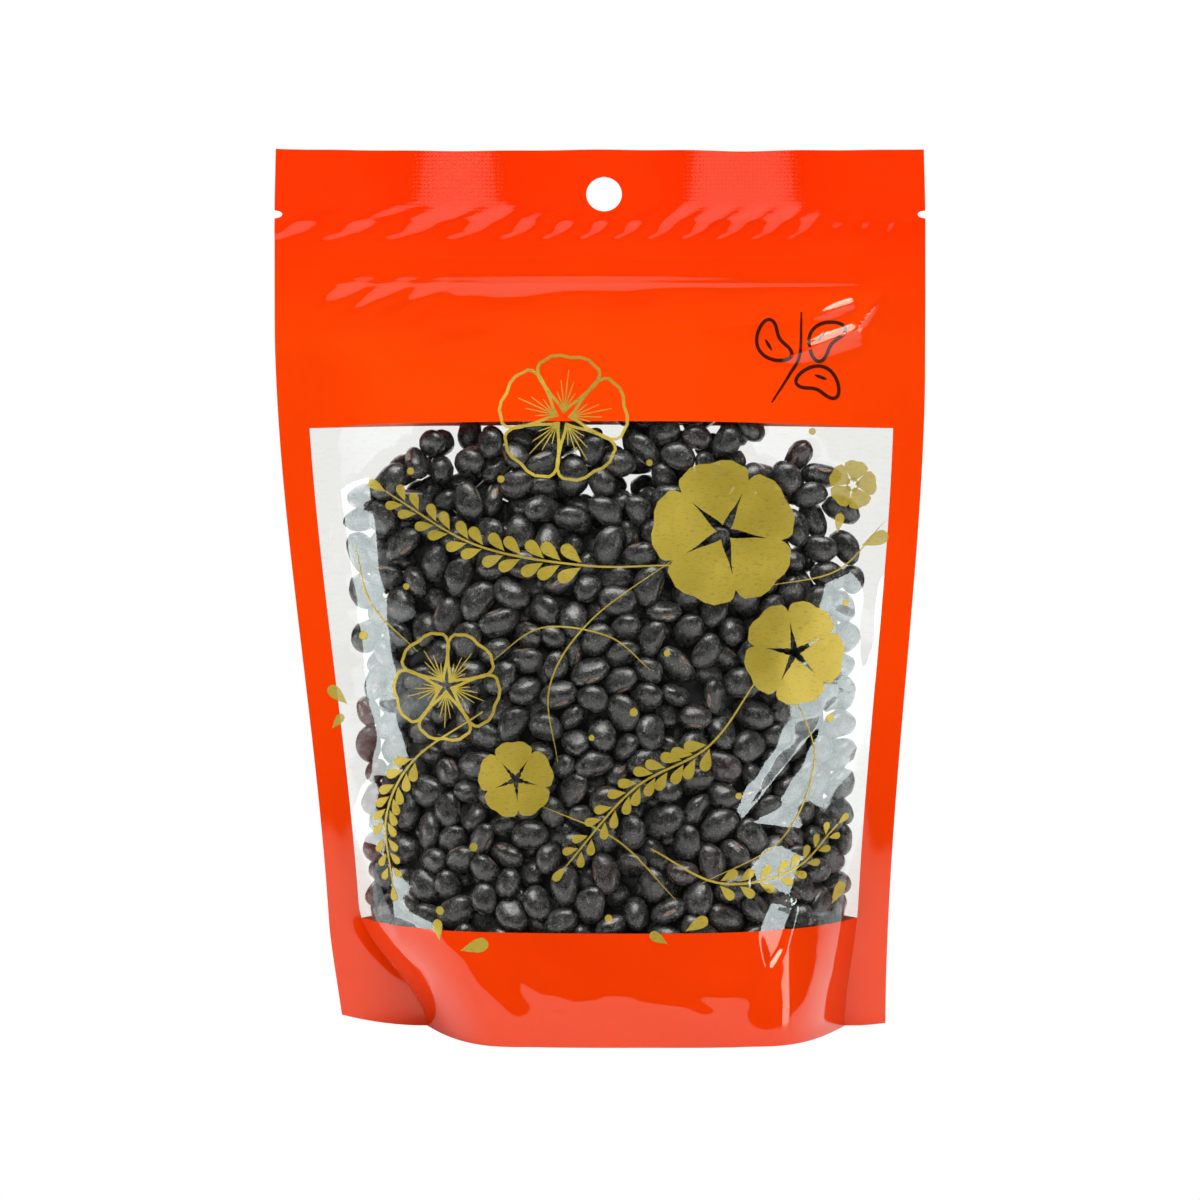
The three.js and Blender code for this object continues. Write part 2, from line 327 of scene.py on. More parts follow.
def sway(x, z):
    """Both films together: the header's lean and ripple, and a slight flutter of the side borders."""
    middle, half = belly(z)
    border = ease(np.abs(x - middle) - half, -3, 5)
    wave = np.cos(x * TURN / HEADER_WAVE_LENGTH) - 0.15 * np.sin(x / 22)
    lean = np.maximum(0, z - HEADER_BEND) / (POUCH_HEIGHT - HEADER_BEND)
    ripple = HEADER_WAVE * lean * wave * (1.5 - 0.5 * wave**2)
    flutter = border * 0.9 * np.sin((z - np.where(x < 0, 72, 60)) / 25)
    slow = 0.22 * ease(z, 150, 168) * (1 - ease(z, 176, 182)) * waves(x, z, 33, 34)
    kink = np.max([fold(x, z, *shape) for shape in KINKS], axis=0)
    return ripple + flutter + slow + puckers(x, z) - 0.7 * ease(z, 192, 203) - kink


def film_y(face, x, z):
    sign = -1 if face == "front" else 1
    return sway(x, z) + sign * film_offset(face, x, z)


def slopes(height, x, z, step):
    """How steeply a height over x and z climbs along X and along Z."""
    along_x = (height(x + step, z) - height(x - step, z)) / (2 * step)
    along_z = (height(x, z + step) - height(x, z - step)) / (2 * step)
    return along_x, along_z


# ---------------------------------------------------------------- mesh helpers
WELD_REACH = 0.002 * MM  # points closer than this become one


def make_mesh(name, points, faces, material, smooth=True):
    """A mesh object from points in millimetres."""
    mesh = bpy.data.meshes.new(name)
    mesh.from_pydata((np.asarray(points) * MM).tolist(), [], [list(map(int, face)) for face in faces])
    mesh.polygons.foreach_set("use_smooth", [smooth] * len(mesh.polygons))
    mesh.update()
    if material:
        mesh.materials.append(material)
    piece = bpy.data.objects.new(name, mesh)
    bpy.context.collection.objects.link(piece)
    return piece


def finish_piece(piece, node):
    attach(piece, "root")
    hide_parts(node)


def change_mesh(piece, change):
    """Makes a change to the mesh of a piece."""
    work = bmesh.new()
    work.from_mesh(piece.data)
    change(work)
    work.to_mesh(piece.data)
    work.free()


def weld_doubles(piece):
    """Joins points that coincide and drops loose ones."""
    def change(work):
        bmesh.ops.remove_doubles(work, verts=work.verts, dist=WELD_REACH)
        loose = [v for v in work.verts if not v.link_faces]
        bmesh.ops.delete(work, geom=loose, context="VERTS")

    change_mesh(piece, change)


def face_forward(piece):
    """Turns round every face that looks away from the front."""
    def change(work):
        work.normal_update()
        bmesh.ops.reverse_faces(work, faces=[f for f in work.faces if f.normal.y > 0])

    change_mesh(piece, change)


def grid_cells(rows, columns):
    """Corner numbers of every cell of a grid, counter-clockwise seen from the front."""
    first = (np.arange(rows - 1)[:, None] * columns + np.arange(columns - 1)).ravel()
    return np.stack([first, first + 1, first + columns + 1, first + columns], axis=1)


def border_edges(cells):
    """Directed edges that belong to one cell only."""
    edges = np.concatenate([cells[:, [i, (i + 1) % 4]] for i in range(4)])
    keys = {(int(a), int(b)) for a, b in edges}
    return [(a, b) for a, b in keys if (b, a) not in keys]


def sew(edges, count):
    """Cells that join edges of the front sheet to those of the back sheet, count points further on."""
    return np.array([(b, a, a + count, b + count) for a, b in edges])


def ring_cells(inner, outer, count):
    """Cells between two rings of points, given the number of the first point of each."""
    steps = [(j, (j + 1) % count) for j in range(count)]
    return [(inner + j, outer + j, outer + k, inner + k) for j, k in steps]


def fan_cells(count):
    """Triangles from a middle point to the first ring round it."""
    return [(0, 1 + j, 1 + (j + 1) % count) for j in range(count)]


def round_turns(count):
    return np.linspace(0, TURN, count, endpoint=False)


# ---------------------------------------------------------------- node helpers
def plug(tree, value, socket):
    """Sets a socket to a value, or links it to another socket."""
    if isinstance(value, bpy.types.NodeSocket):
        tree.links.new(value, socket)
    else:
        socket.default_value = value


def add(tree, kind, inputs=None, **settings):
    """A node with its settings, and with its inputs set to values or linked to sockets."""
    node = tree.nodes.new(kind)
    for key, value in settings.items():
        setattr(node, key, value)
    for key, value in (inputs or {}).items():
        plug(tree, value, node.inputs[key])
    return node


def math_node(tree, operation, *values):
    return add(tree, "ShaderNodeMath", dict(enumerate(values)), operation=operation).outputs[0]


def blend(tree, factor, first, second):
    """A colour between two, by a factor that varies over the surface."""
    node = add(tree, "ShaderNodeMix", data_type="RGBA")
    for name, value in (("Factor_Float", factor), ("A_Color", first), ("B_Color", second)):
        plug(tree, value, next(s for s in node.inputs if s.identifier == name))
    return next(s for s in node.outputs if s.identifier == "Result_Color")


def ramp(tree, value, low, high, to_low=0.0, to_high=1.0):
    """Maps low..high to to_low..to_high, held at both ends."""
    inputs = {"Value": value, "From Min": low, "From Max": high, "To Min": to_low, "To Max": to_high}
    return add(tree, "ShaderNodeMapRange", inputs).outputs["Result"]


def noise(tree, place, scale, detail, more=None):
    """A soft random pattern, from 0 to 1."""
    inputs = {"Vector": place, "Scale": scale, "Detail": detail, **(more or {})}
    return add(tree, "ShaderNodeTexNoise", inputs).outputs["Fac"]


def bumped(tree, height, strength, distance):
    """The surface's normal, tilted by fine relief."""
    inputs = {"Height": height, "Strength": strength, "Distance": distance}
    return add(tree, "ShaderNodeBump", inputs).outputs[0]


def new_group(name, kind, inputs, outputs):
    """A node group with its named inputs and outputs, and the sockets inside it that its nodes link to."""
    group = bpy.data.node_groups.new(name, kind)
    for way, sockets in (("INPUT", inputs), ("OUTPUT", outputs)):
        for label, holds in sockets:
            group.interface.new_socket(label, in_out=way, socket_type="NodeSocket" + holds)
    return group, group.nodes.new("NodeGroupInput").outputs, group.nodes.new("NodeGroupOutput").inputs


def new_material(name):
    material = bpy.data.materials.new(name)
    material.use_nodes = True
    material.node_tree.nodes.clear()
    return material, material.node_tree


def set_surface(tree, shader):
    add(tree, "ShaderNodeOutputMaterial", {"Surface": shader.outputs[0]})


def set_coat(tree, colour, roughness, more=None):
    """The one opaque shader of a material: its colour, its roughness and what else it needs."""
    inputs = {"Base Color": colour, "Roughness": roughness, **(more or {})}
    set_surface(tree, add(tree, "ShaderNodeBsdfPrincipled", inputs))


def scuff_group():
    """Fine handling marks on film and ink: a mask of faint streaks and specks, and their height."""
    group, given, result = new_group(
        "handling_marks",
        "ShaderNodeTree",
        [("Position", "Vector"), ("Size", "Float")],
        [("Mask", "Float"), ("Height", "Float")],
    )
    stretch = add(group, "ShaderNodeMapping", {"Vector": given["Position"], "Scale": (1.0, 1.0, 4.0)})
    scale = math_node(group, "DIVIDE", 1.0, given["Size"])
    streaks = noise(group, stretch.outputs[0], scale, 5.0)
    specks = add(group, "ShaderNodeTexVoronoi", {"Vector": given["Position"], "Scale": scale})
    dots = ramp(group, specks.outputs["Distance"], 0.05, 0.12, 1.0, 0.0)
    lines = ramp(group, streaks, 0.55, 0.75)
    group.links.new(math_node(group, "MAXIMUM", dots, lines), result["Mask"])
    group.links.new(math_node(group, "ADD", streaks, dots), result["Height"])
    return group


MARKS = scuff_group()


def handling_marks(tree, position, size):
    node = add(tree, "ShaderNodeGroup", {"Position": position, "Size": size}, node_tree=MARKS)
    return node.outputs["Mask"], node.outputs["Height"]


def object_position(tree):
    return add(tree, "ShaderNodeTexCoord").outputs["Object"]


# ---------------------------------------------------------------- materials
FINE_RELIEF = 0.03 * MM  # scale of the fine relief of film and ink
SEAL_PITCH = 0.95 * MM  # of the grid pressed into the header
FOOT_TONE = (30 * MM, 90 * MM)  # heights between which the darker orange of the foot gives way
HEADER_TONE = (168 * MM, 200 * MM)  # heights between which the orange turns redder towards the header, partly from its double film and partly as painted light, the body below it being painted brighter
SEAL_START = (199 * MM, 200 * MM)


def printed_film_material():
    """Red-orange ink under glossy film, with a fine pressed grid in the header's seal."""
    material, tree = new_material("printed_film")
    position = object_position(tree)
    axes = add(tree, "ShaderNodeSeparateXYZ", {"Vector": position}).outputs
    mask, marks = handling_marks(tree, position, 2.5 * MM)
    cloud = noise(tree, position, 22.0, 2.0)
    # The body's orange is painted brighter than the header's: partly painted light, standing in for the
    # stronger light on the middle of the panel, and partly the header's double film.
    foot = blend(tree, cloud, (0.57, 0.026, 0.0004, 1), (0.61, 0.033, 0.0006, 1))
    body = blend(tree, cloud, (0.65, 0.033, 0.0004, 1), (0.70, 0.042, 0.0006, 1))
    header = blend(tree, cloud, (0.69, 0.020, 0.0003, 1), (0.73, 0.026, 0.0004, 1))
    inside = blend(tree, cloud, (0.72, 0.16, 0.10, 1), (0.80, 0.22, 0.15, 1))
    ink = blend(tree, ramp(tree, axes["Z"], *FOOT_TONE), foot, body)
    ink = blend(tree, ramp(tree, axes["Z"], *HEADER_TONE), ink, header)
    facing = add(tree, "ShaderNodeNewGeometry").outputs["Backfacing"]
    colour = blend(tree, facing, ink, inside)

    across, upward = (
        math_node(tree, "SINE", math_node(tree, "MULTIPLY", axes[way], TURN / SEAL_PITCH)) for way in "XZ"
    )
    grid = math_node(tree, "MAXIMUM", across, upward)
    pressed = math_node(tree, "MULTIPLY", grid, ramp(tree, axes["Z"], *SEAL_START))
    height = math_node(tree, "MULTIPLY_ADD", marks, 0.04, pressed)
    normal = bumped(tree, height, 0.2, FINE_RELIEF)
    tint = (1, 0.95, 0.75, 1)
    more = {"Normal": normal, "IOR": 1.5, "Specular Tint": tint}
    set_coat(tree, colour, ramp(tree, mask, 0.0, 1.0, 0.045, 0.12), more)
    return material


def clear_film_material():
    """Thin clear film: it lets nearly all light straight through and mirrors the rest."""
    material, tree = new_material("clear_film")
    mask, marks = handling_marks(tree, object_position(tree), 3.0 * MM)
    normal = bumped(tree, marks, 0.1, FINE_RELIEF)
    roughness = ramp(tree, mask, 0.0, 1.0, 0.03, 0.12)
    tint = blend(tree, mask, (0.965, 0.965, 0.95, 1), (0.93, 0.93, 0.915, 1))
    clear = add(tree, "ShaderNodeBsdfTransparent", {"Color": tint})
    inputs = {"Color": (0.87, 0.98, 0.98, 1), "Roughness": roughness, "Normal": normal}
    mirror = add(tree, "ShaderNodeBsdfGlossy", inputs)
    grazing = add(tree, "ShaderNodeLayerWeight", {"Blend": 0.5, "Normal": normal}).outputs["Facing"]
    bounce = math_node(tree, "MULTIPLY_ADD", math_node(tree, "POWER", grazing, 5.0), 0.92, 0.08)
    both = add(tree, "ShaderNodeMixShader", {0: bounce, 1: clear.outputs[0], 2: mirror.outputs[0]})
    set_surface(tree, both)
    return material


def gold_ink_material():
    """Satin gold foil with a soft change of tone and a few worn pinholes."""
    material, tree = new_material("gold_ink")
    position = object_position(tree)
    mask, marks = handling_marks(tree, position, 1.2 * MM)
    cloud = noise(tree, position, 60.0, 3.0)
    tone = blend(tree, cloud, (0.36, 0.275, 0.026, 1), (0.52, 0.395, 0.045, 1))
    colour = blend(tree, mask, tone, (0.22, 0.18, 0.035, 1))
    normal = bumped(tree, marks, 0.2, FINE_RELIEF)
    more = {"Metallic": 0.45, "Alpha": 0.88, "Normal": normal}
    set_coat(tree, colour, ramp(tree, cloud, 0.3, 0.7, 0.32, 0.5), more)
    return material


def dark_ink_material():
    """Brown-black line print."""
    material, tree = new_material("dark_ink")
    mask, _ = handling_marks(tree, object_position(tree), 0.8 * MM)
    colour = blend(tree, mask, (0.035, 0.006, 0.002, 1), (0.09, 0.012, 0.003, 1))
    set_coat(tree, colour, ramp(tree, mask, 0.0, 1.0, 0.16, 0.3))
    return material


def bean_material():
    """Roasted black bean skin: mottled, finely wrinkled and dusty, with a pale scar on one side."""
    material, tree = new_material("roasted_skin")
    spot = add(tree, "ShaderNodeAttribute", attribute_name="bean_coord").outputs["Vector"]
    tone = add(tree, "ShaderNodeAttribute", attribute_name="bean_tone_and_red_light").outputs["Fac"]
    offset = add(tree, "ShaderNodeCombineXYZ", {"X": math_node(tree, "MULTIPLY", tone, 57.0)})
    own = add(tree, "ShaderNodeVectorMath", {0: spot, 1: offset.outputs[0]}, operation="ADD").outputs[0]

    mottle = noise(tree, own, 0.55, 5.0, {"Roughness": 0.6})
    wrinkle = noise(tree, own, 0.9, 3.0, {"Distortion": 1.0})
    grain = noise(tree, own, 1.9, 3.0, {"Roughness": 0.7})
    dust = noise(tree, own, 3.2, 1.0)
    specks = math_node(tree, "MULTIPLY", ramp(tree, dust, 0.60, 0.66), ramp(tree, mottle, 0.42, 0.6))

    axes = add(tree, "ShaderNodeSeparateXYZ", {"Vector": spot}).outputs
    along, aside = (
        math_node(tree, "POWER", math_node(tree, "DIVIDE", axes[way], half), 2.0)
        for way, half in (("X", 1.7), ("Z", 0.46))
    )
    ring = math_node(tree, "SQRT", math_node(tree, "ADD", along, aside))
    belly_side = ramp(tree, axes["Y"], -1.4, -2.0)
    scar = math_node(tree, "MULTIPLY", ramp(tree, ring, 1.1, 0.8), belly_side)
    rim = math_node(tree, "MULTIPLY", ramp(tree, ring, 0.45, 0.2), belly_side)

    patchy = math_node(tree, "MULTIPLY_ADD", grain, 0.6, math_node(tree, "MULTIPLY", mottle, 0.6))
    skin = blend(tree, ramp(tree, patchy, 0.4, 0.8), (0.008, 0.008, 0.008, 1), (0.039, 0.039, 0.037, 1))
    # Some beans are warmer in tone at random; those given the red-light tone are painted dark red, standing
    # in for red light through the orange film.
    warm_tone_and_red_light = blend(tree, ramp(tree, tone, 0.93, 1.25), skin, (0.085, 0.029, 0.026, 1))
    scarred = blend(tree, math_node(tree, "MULTIPLY", scar, 0.85), warm_tone_and_red_light, (0.30, 0.19, 0.14, 1))
    rimmed = blend(tree, rim, scarred, (0.02, 0.015, 0.012, 1))
    colour = blend(tree, math_node(tree, "MULTIPLY", specks, 0.8), rimmed, (0.34, 0.33, 0.31, 1))

    folds = math_node(tree, "MULTIPLY_ADD", grain, 0.45, wrinkle)
    height = math_node(tree, "MULTIPLY_ADD", scar, -0.4, folds)
    normal = bumped(tree, height, 0.4, 0.2 * MM)
    more = {"Normal": normal, "Specular IOR Level": 0.7}
    set_coat(tree, colour, ramp(tree, mottle, 0.3, 0.7, 0.21, 0.38), more)
    return material


def shade_material():
    """The dark inside of the heap, seen only through gaps between beans."""
    material, tree = new_material("heap_shade")
    cells = add(tree, "ShaderNodeTexVoronoi", {"Vector": object_position(tree), "Scale": 150.0})
    shape = cells.outputs["Distance"]
    colour = blend(tree, shape, (0.012, 0.012, 0.013, 1), (0.004, 0.004, 0.004, 1))
    set_coat(tree, colour, 0.6, {"Normal": bumped(tree, shape, 1.0, 2 * MM)})
    return material


def floor_material():
    """Plain white table."""
    material, tree = new_material("white_table")
    cloud = noise(tree, object_position(tree), 3.0, 2.0)
    colour = blend(tree, cloud, (0.93, 0.93, 0.93, 1), (0.95, 0.95, 0.95, 1))
    matte = add(tree, "ShaderNodeBsdfPrincipled", {"Base Color": colour, "Roughness": 0.6})
    bright = add(tree, "ShaderNodeEmission", {"Color": (1, 1, 1, 1), "Strength": 1.0})
    seen = add(tree, "ShaderNodeLightPath").outputs["Is Camera Ray"]
    set_surface(tree, add(tree, "ShaderNodeMixShader", {0: seen, 1: matte.outputs[0], 2: bright.outputs[0]}))
    return material


# ---------------------------------------------------------------- the film bag
BELLY_STEPS, FLANGE_STEPS, GUSSET_STEPS = 200, 8, 24
CREASE_ANGLE = math.radians(50)  # film bent more sharply than this shows an edge


def panel_rows():
    """Heights of the rows of both panels, closer together at the zip, the notches and the hole."""
    stops = [
        (0, 0.8),
        (WINDOW_BOTTOM, 0.8),
        (WINDOW_TOP, 0.8),
        (ZIP_BOTTOM - 14, 0.35),
        (ZIP_TOP + 5, 0.5),
        (NOTCH_Z - NOTCH_HALF, 0.2),
        (NOTCH_Z + NOTCH_HALF, 0.55),
        (POUCH_HEIGHT, None),
    ]
    rows = []
    for (start, step), (end, _) in zip(stops, stops[1:]):
        rows.append(np.linspace(start, end, max(1, round((end - start) / step)), endpoint=False))
    return np.concatenate(rows + [[POUCH_HEIGHT]])


def panel_layout():
    """x and z of every point of a panel, before the film is moved off the middle plane."""
    rows = panel_rows()[:, None]
    across = np.linspace(-1, 1, BELLY_STEPS + 1)[None, :]
    z = rows + WINDOW_BOW * (1 - across**2) * np.exp(-(((rows - WINDOW_TOP) / WINDOW_BOW_FADE) ** 2))
    middle, half = belly(z)
    x = middle + half * across
    z = z - TOP_DIP * ease(rows, 196, POUCH_HEIGHT) * (1 - np.cos(x * TURN / HEADER_WAVE_LENGTH)) / 2
    share = np.arange(FLANGE_STEPS)[None, :] / FLANGE_STEPS  # 0 on the outer edge

    def flange(side, sign, inner):
        outer = sign * side_edge(side, rows)
        lift = CORNER_LIFT[side] * (1 - share) ** 2 * (1 - ease(rows, 0, CORNER_FLAT_HEIGHT))
        return outer + (inner - outer) * share, rows + lift

    left_x, left_z = flange("left", -1, x[:, :1])
    right_x, right_z = flange("right", 1, x[:, -1:])
    return np.hstack([left_x, x, right_x[:, ::-1]]), np.hstack([left_z, z, right_z[:, ::-1]])


def punch_hole(x, z, cells):
    """Leaves out the cells inside the hang hole and moves the points of its rim onto the circle."""
    centre_x, centre_z = x[cells].mean(axis=1), z[cells].mean(axis=1)
    kept = cells[np.hypot(centre_x - HOLE_X, centre_z - HOLE_Z) > HOLE_RADIUS]
    border = sorted({a for a, _ in border_edges(kept)})
    rim = [a for a in border if math.hypot(x[a] - HOLE_X, z[a] - HOLE_Z) < 2 * HOLE_RADIUS]
    reach = np.hypot(x[rim] - HOLE_X, z[rim] - HOLE_Z)
    x[rim] = HOLE_X + (x[rim] - HOLE_X) * HOLE_RADIUS / reach
    z[rim] = HOLE_Z + (z[rim] - HOLE_Z) * HOLE_RADIUS / reach
    return kept


def gusset_points(x, front_y, back_y):
    """The folded foot between the bottom edges of the two panels."""
    depth = np.linspace(-1, 1, GUSSET_STEPS + 1)[:, None]
    y = (front_y + back_y) / 2 + depth * (back_y - front_y) / 2
    y[1:-1, [0, -1]] = y[0, [0, -1]]  # one edge at each end, as the panels have
    from_rim = (1 - np.abs(depth)) * np.abs(back_y - front_y) / 2
    middle, half = belly(np.float64(0))
    fade = 1 - np.abs((x - middle) / half) ** 4
    arch = GUSSET_RISE * np.sqrt(ease(from_rim, GUSSET_RIM, 30)) * fade
    crinkle = 0.25 * ease(from_rim, GUSSET_RIM, 12) * waves(x + 0 * y, y, 91, 22) * fade
    ridge = 0.6 * np.exp(-np.abs(y) / 2.5) * fade * ease(from_rim, 0, GUSSET_RIM)
    z = np.maximum(0, arch + crinkle + ridge)
    return np.stack([np.broadcast_to(x, y.shape), y, z], axis=-1)


def build_bag(printed, clear):
    """Front and back panels, welded along their edges, the gusset, and the two clear windows."""
    x, z = panel_layout()
    rows, columns = x.shape
    count = rows * columns
    x, z = x.ravel(), z.ravel()
    cells = punch_hole(x, z, grid_cells(rows, columns))
    heights = panel_rows()
    row, column = cells[:, 0] // columns, cells[:, 0] % columns
    in_window = (heights[row] > WINDOW_BOTTOM - 0.1) & (heights[row] < WINDOW_TOP - 0.1)
    in_window &= (column >= FLANGE_STEPS) & (column < columns - 1 - FLANGE_STEPS)

    points = {face: np.stack([x, film_y(face, x, z), z], axis=1) for face in ("front", "back")}
    # The panels are sewn together all round, apart from the bottom, where the gusset joins them
    bottom = np.arange(FLANGE_STEPS, columns - FLANGE_STEPS)
    sewn = sew([(a, b) for a, b in border_edges(cells) if a not in bottom or b not in bottom], count)
    foot = gusset_points(x[bottom], points["front"][bottom, 1], points["back"][bottom, 1])
    foot_cells = grid_cells(GUSSET_STEPS + 1, len(bottom))[:, ::-1] + 2 * count
    all_points = np.concatenate([points["front"], points["back"], foot.reshape(-1, 3)])
    faces = [cells[~in_window], (cells[~in_window] + count)[:, ::-1], sewn, foot_cells]
    film = make_mesh("printed_film", all_points, np.concatenate(faces), printed)
    weld_doubles(film)
    film.data.set_sharp_from_angle(angle=CREASE_ANGLE)
    finish_piece(film, "pouch")

    for face, flip in (("front", 1), ("back", -1)):
        pane = make_mesh(f"clear_window_{face}", points[face], cells[in_window][:, ::flip], clear)
        weld_doubles(pane)
        finish_piece(pane, "pouch")


# ---------------------------------------------------------------- the beans
# Kinds of bean: full length, width and thickness, how kidney-shaped, how dented, and its share of the heap
BEAN_KINDS = {
    "plump": {"size": (9.2, 7.5, 6.1), "bend": 0.4, "dent": 0.17, "share": 0.3},
    "long": {"size": (10.0, 7.0, 5.6), "bend": 0.62, "dent": 0.22, "share": 0.27},
    "flat": {"size": (9.2, 7.4, 5.1), "bend": 0.45, "dent": 0.5, "share": 0.25},
    "small": {"size": (7.8, 6.5, 5.5), "bend": 0.23, "dent": 0.28, "share": 0.18},
}
BEAN_AROUND, BEAN_ALONG = 18, 11
SWELL_SPREAD, SWELL_LEAST, SWELL_MOST = 0.06, 0.82, 1.14  # of the beans' sizes
HEAP_FLOOR, HEAP_FLOOR_RISE = 6.5, 10  # height of the heap's underside, and its rise at the sides
HEAP_BOX = np.array([[-72, -35, 6], [72, 35, HEAP_TOP]])
FILM_CLEARANCE = 0.7
START_ROOM, START_RISE = 2.2, 3  # how far from the film, and from the heap's top and underside, beans start
SPACE_RATIO = 1.12  # about the space open to beans, where the space in which they start is 1
FLAT_NEAR, FLAT_FADE, FLAT_SCATTER = 2.5, 4, 0.45  # where beans lie flat on the film, and how unevenly
SEEN_DEPTH = 15  # beans further in than this are left out
PACKED_SHARE = 0.60  # of the space open to them that beans fill
RED_LIGHT_TONE = 1.25  # tone of the beans down the left edge that are painted dark red, as painted red light standing in for light through the orange film; the others run from 0 to 1
RED_LIGHT_EDGE, RED_LIGHT_LOW, RED_LIGHT_HIGH = 0.87, 36, 88  # how far out those beans are, and between which heights
LOWEST_BEAN = 20  # lower ones would be hidden by the printed foot
TOP_GAPS, TOP_GAPS_HEIGHTS = 0.14, (122, 138)  # share of beans left out at the top, and where it sets in
NEIGHBOUR_REACH = 12.5  # beans further apart than this can't touch
PUSH_SHARE, LONGEST_MOVE = 0.42, 1.2  # of an overlap that each bean gives way by, and the most it moves
FIT_MARGIN, TUCKED_ROOM = 1.1, 0.4  # times its size that a bean is taken to be, and how far inside it stays
MOST_BEANS, TRIAL_POINTS = 6000, 60000  # random beans and places drawn, more than are used


def film_distance(x, z, sign):
    """A panel at x and z: its offset, its outward unit normal, and how much steeper than flat it is."""
    def offset(px, pz):
        return np.where(sign < 0, film_offset("front", px, pz), film_offset("back", px, pz))

    slope_x, slope_z = slopes(offset, x, z, step=0.5)
    normal = np.stack([-slope_x, np.full_like(x, sign), -slope_z], axis=-1)
    length = np.linalg.norm(normal, axis=-1, keepdims=True)
    return offset(x, z), normal / length, length[..., 0]


def heap_reach(z):
    """How much of the bag's width the heap takes up at height z."""
    return np.maximum(0.05, 1 - HEAP_EDGE / np.maximum(bow(0, z), 0.1)) ** (1 / bow_power(z))


def heap_top(x, z):
    middle, half = belly(z)
    across = np.clip((x - middle) / (half * heap_reach(z)), -1, 1)
    left, right = HEAP_SHOULDER["left"], HEAP_SHOULDER["right"]
    drop, power = [np.where(across < 0, left[i], right[i]) for i in (0, 1)]
    return HEAP_TOP - drop * np.abs(across) ** power


def heap_floor(x, z):
    middle, half = belly(z)
    across = np.clip(np.abs((x - middle) / half), 0, 1)
    return HEAP_FLOOR + HEAP_FLOOR_RISE * across**6


def inside_heap(p):
    x, y, z = p.T
    offset, _, _ = film_distance(x, z, 1)
    in_height = (z > heap_floor(x, z) + START_RISE) & (z < heap_top(x, z) - START_RISE)
    return (np.abs(y) < offset - START_ROOM) & in_height


def random_turns(rng, count):
    """Rotation matrices spread evenly over all turns."""
    q = rng.normal(size=(count, 4))
    w, a, b, c = (q / np.linalg.norm(q, axis=1, keepdims=True)).T
    return np.stack([
        np.stack([1 - 2 * (b * b + c * c), 2 * (a * b - c * w), 2 * (a * c + b * w)], -1),
        np.stack([2 * (a * b + c * w), 1 - 2 * (a * a + c * c), 2 * (b * c - a * w)], -1),
        np.stack([2 * (a * c - b * w), 2 * (b * c + a * w), 1 - 2 * (a * a + b * b)], -1),
    ], -2)


def lay_flat(turns, position, rng):
    """Turns beans near a film so that their thin axis points more or less at it."""
    x, y, z = position.T
    sign = np.where(y < 0, -1.0, 1.0)
    offset, normal, length = film_distance(x, z, sign)
    distance = (offset - np.abs(y)) / length
    pull = np.exp(-np.maximum(0, distance - FLAT_NEAR) / FLAT_FADE)
    wanted = normal + rng.normal(scale=FLAT_SCATTER, size=normal.shape)
    thin = turns[:, :, 2]
    thin = np.where(np.sum(thin * wanted, axis=1, keepdims=True) < 0, -thin, thin)
    new_thin = thin * (1 - pull[:, None]) + wanted * pull[:, None]
    new_thin /= np.linalg.norm(new_thin, axis=1, keepdims=True)
    long = turns[:, :, 0]
    long = long - np.sum(long * new_thin, axis=1, keepdims=True) * new_thin
    long /= np.linalg.norm(long, axis=1, keepdims=True)
    return np.stack([long, np.cross(new_thin, long), new_thin], axis=-1)


def support(local, half_sizes):
    """How far ellipsoids reach out along a direction that is given in their own axes."""
    return np.sqrt(np.sum((local * half_sizes) ** 2, axis=1))


def reach_along(turns, half_sizes, direction):
    """How far an ellipsoid reaches towards a neighbour: between its radius and its support that way."""
    local = np.einsum("nij,ni->nj", turns, direction)
    radius = 1 / np.sqrt(np.sum((local / half_sizes) ** 2, axis=1))
    return 0.5 * support(local, half_sizes) + 0.5 * radius


def near_pairs(position, limit):
    """Numbers of every two beans that are closer than a limit."""
    order = np.argsort(position[:, 2])
    heights = position[order, 2]
    last = np.searchsorted(heights, heights + limit)
    first_ids, second_ids = [], []
    for i, end in enumerate(last):
        others = order[i + 1:end]
        close = np.sum((position[others] - position[order[i]]) ** 2, axis=1) < limit * limit
        others = others[close]
        first_ids.append(np.full(len(others), order[i]))
        second_ids.append(others)
    return np.concatenate(first_ids), np.concatenate(second_ids)


def settle(position, turns, half_sizes, rounds):
    """Pushes overlapping beans apart, and back inside the bag."""
    for step in range(rounds):
        if step % 8 == 0:
            one, two = near_pairs(position, NEIGHBOUR_REACH)
        gap = position[two] - position[one]
        distance = np.linalg.norm(gap, axis=1)
        heading = gap / np.maximum(distance, 1e-6)[:, None]
        reach_one, reach_two = (reach_along(turns[ids], half_sizes[ids], heading) for ids in (one, two))
        push = np.maximum(0, reach_one + reach_two - distance)[:, None] * heading * PUSH_SHARE
        move = np.zeros_like(position)
        np.add.at(move, one, -push)
        np.add.at(move, two, push)
        size = np.linalg.norm(move, axis=1, keepdims=True)
        position = position + move * np.minimum(1, LONGEST_MOVE / np.maximum(size, 1e-6))
        for sign in (-1.0, 1.0):
            x, y, z = position.T
            offset, normal, length = film_distance(x, z, np.full_like(x, sign))
            room = (offset - sign * y) / length - FILM_CLEARANCE
            need = support(np.einsum("nij,ni->nj", turns, normal), half_sizes)
            position = position - np.maximum(0, need - room)[:, None] * normal
        x, y, z = position.T
        middle, half = belly(z)
        room = half * heap_reach(z) - support(turns[:, 0, :], half_sizes)
        position[:, 0] = x = np.clip(x, middle - np.maximum(room, 0), middle + np.maximum(room, 0))
        upward = support(turns[:, 2, :], half_sizes)
        low, high = heap_floor(x, z) + upward, heap_top(x, z) - upward
        position[:, 2] = np.clip(z, low, np.maximum(low, high))
    return position


